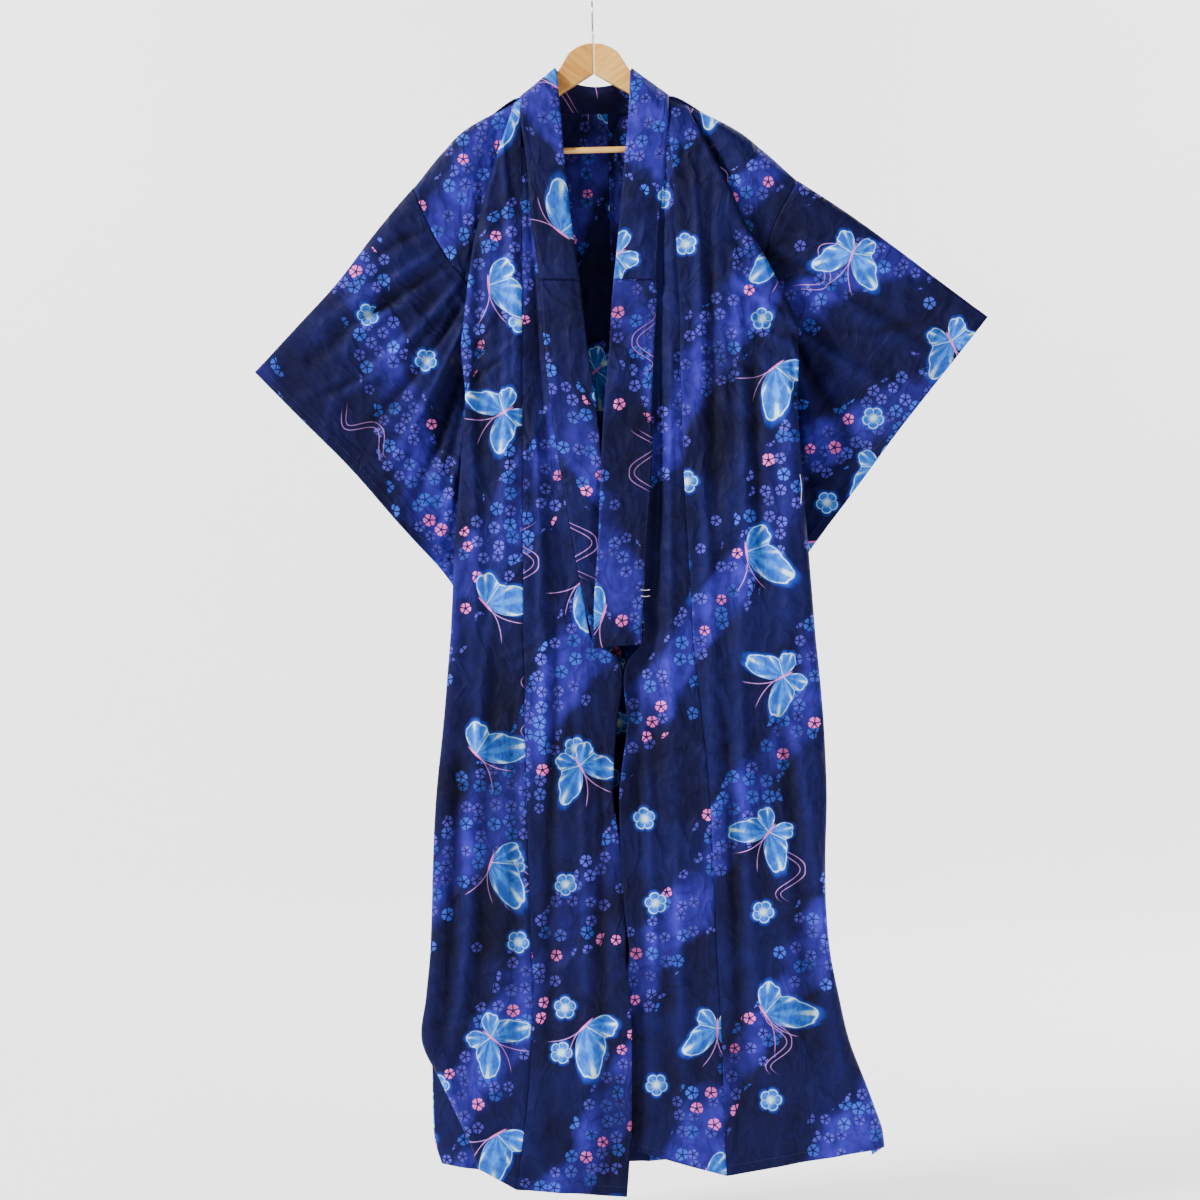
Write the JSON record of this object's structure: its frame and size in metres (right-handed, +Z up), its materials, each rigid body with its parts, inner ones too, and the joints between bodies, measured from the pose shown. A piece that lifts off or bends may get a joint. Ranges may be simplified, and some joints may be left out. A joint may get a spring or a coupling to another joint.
{
  "type": "kimono robe on a hanger",
  "caption": "Long unlined cotton kimono robe with deep rectangular sleeves, hung open and flat on a contoured wooden hanger with a wire hook.",
  "frame": {"origin": "inside of the hook's top, where a rail carries it", "axes": "+Z up, the robe's front faces -Y, the wearer's right is at -X"},
  "size_m": [1.0722, 0.0949, 1.7439],
  "materials": {
    "printed_cotton": "matte",
    "collar_cotton": "matte",
    "wood": "varnished",
    "wire": "satin"
  },
  "bodies": {
    "root": {"front_right": "printed_cotton", "front_left": "printed_cotton", "back_right": "printed_cotton", "back_left": "printed_cotton", "overlap_right": "printed_cotton", "overlap_left": "printed_cotton", "sleeve_right": "printed_cotton", "sleeve_left": "printed_cotton", "collar": "collar_cotton", "over_collar": "collar_cotton", "hanger_wing_right": "wood", "hanger_wing_left": "wood", "hanger_bar": "wood", "hanger_hook": "wire"}
  },
  "joints": []
}
